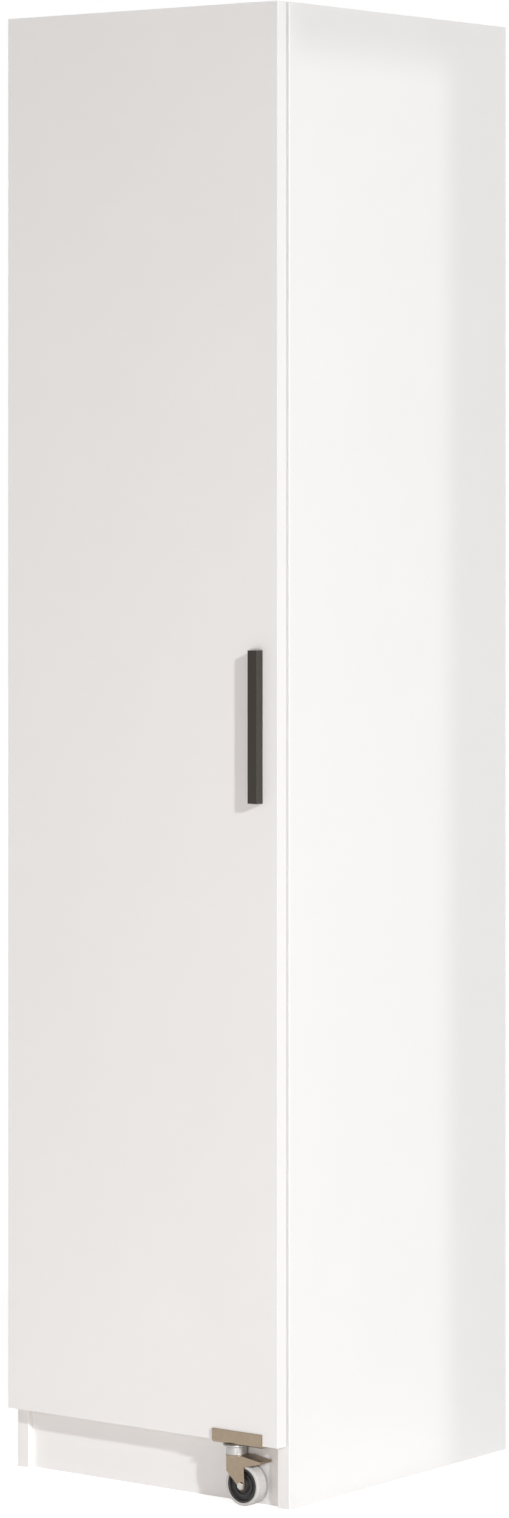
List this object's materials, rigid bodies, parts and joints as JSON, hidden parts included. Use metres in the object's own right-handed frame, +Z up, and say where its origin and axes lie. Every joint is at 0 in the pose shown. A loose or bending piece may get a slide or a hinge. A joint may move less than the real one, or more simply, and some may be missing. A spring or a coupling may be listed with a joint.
{
  "type": "broom cupboard",
  "caption": "Tall narrow white broom cupboard with one full-overlay door on concealed hinges, a bar handle and a swivel castor under the door's free corner.",
  "frame": {"origin": "centre of the base, on the floor, halfway between the handle's front and the carcass's rear edge", "axes": "+Z up, +X to the right seen from the front, +Y to the back"},
  "size_m": [0.424, 0.487, 1.8],
  "materials": {
    "white_board": "white melamine-faced chipboard, satin",
    "white_hardboard": "white-lacquered hardboard, satin",
    "white_edging": "white ABS edging, satin",
    "beech": "plain fluted beech",
    "zinc": "zinc-plated, dull",
    "steel": "zinc-plated, satin",
    "nickel": "nickel-plated, satin",
    "chrome": "bright chrome plating",
    "clear_rubber": "soft clear polyurethane",
    "dark_bronze": "dark brown-grey lacquer, satin",
    "black_plastic": "black nylon",
    "grey_tyre": "pale grey thermoplastic rubber"
  },
  "bodies": {
    "carcass": {"side_panel_left": "white_board", "side_panel_right": "white_board", "top_panel": "white_board", "bottom_panel": "white_board", "fixed_shelf": "white_board", "plinth_board": "white_board", "rear_plinth_rail": "white_board", "back_panel": "white_hardboard", "carcass_edging": "white_edging", "cam_locks": "zinc", "cam_bolts": "steel", "dowels": "beech", "wall_bracket": "steel", "wall_bracket_screws": "steel", "hinge_plate_1": "nickel", "hinge_plate_2": "nickel", "hinge_plate_3": "nickel", "hinge_plate_4": "nickel", "hinge_arm_1": "nickel", "hinge_arm_2": "nickel", "hinge_arm_3": "nickel", "hinge_arm_4": "nickel", "hinge_plate_screws": "steel", "hinge_arm_screws": "steel", "arm_pins": "steel"},
    "long_links": {"long_link_1": "nickel", "long_link_2": "nickel", "long_link_3": "nickel", "long_link_4": "nickel"},
    "short_links": {"short_link_1": "nickel", "short_link_2": "nickel", "short_link_3": "nickel", "short_link_4": "nickel"},
    "door": {"door_panel": "white_board", "door_edging": "white_edging", "door_bumpers": "clear_rubber", "handle": "dark_bronze", "handle_screws": "steel", "hinge_cup_1": "nickel", "hinge_cup_2": "nickel", "hinge_cup_3": "nickel", "hinge_cup_4": "nickel", "cup_pins": "steel", "hinge_cup_screws": "steel", "castor_bracket": "zinc", "bracket_screws": "steel", "kingpin": "steel", "swivel_race": "chrome", "swivel_balls": "chrome"},
    "castor_fork": {"castor_fork": "zinc", "swivel_housing": "chrome", "axle_bolt": "steel", "axle_nut": "steel", "wheel_bush": "steel"},
    "castor_wheel": {"wheel_hub": "black_plastic", "wheel_tyre": "grey_tyre"}
  },
  "joints": [
    {"name": "door_swing", "type": "hinge", "parent": "long_links", "child": "door", "pos_m": [-0.2008, -0.217, 0.936], "axis": [0, 0, -1], "range_deg": [0, 118.75]},
    {"name": "long_link_turn", "type": "hinge", "parent": "carcass", "child": "long_links", "pos_m": [-0.1722, -0.1947, 0.936], "axis": [0, 0, 1], "range_deg": [0, 23.75]},
    {"name": "short_link_turn", "type": "hinge", "parent": "carcass", "child": "short_links", "pos_m": [-0.1767, -0.2165, 0.936], "axis": [0, 0, 1], "range_deg": [0, 27.79]},
    {"name": "castor_swivel", "type": "hinge", "parent": "door", "child": "castor_fork", "pos_m": [0.139, -0.2195, 0.07], "axis": [0, 0, 1], "range_deg": [-180, 0]},
    {"name": "wheel_roll", "type": "hinge", "parent": "castor_fork", "child": "castor_wheel", "pos_m": [0.154, -0.2195, 0.025], "axis": [0, 1, 0], "continuous": true}
  ],
  "couplings": [
    {"joint": "long_link_turn", "follows": "door_swing", "ratio": 0.2},
    {"joint": "short_link_turn", "follows": "door_swing", "ratio": 0.234}
  ]
}
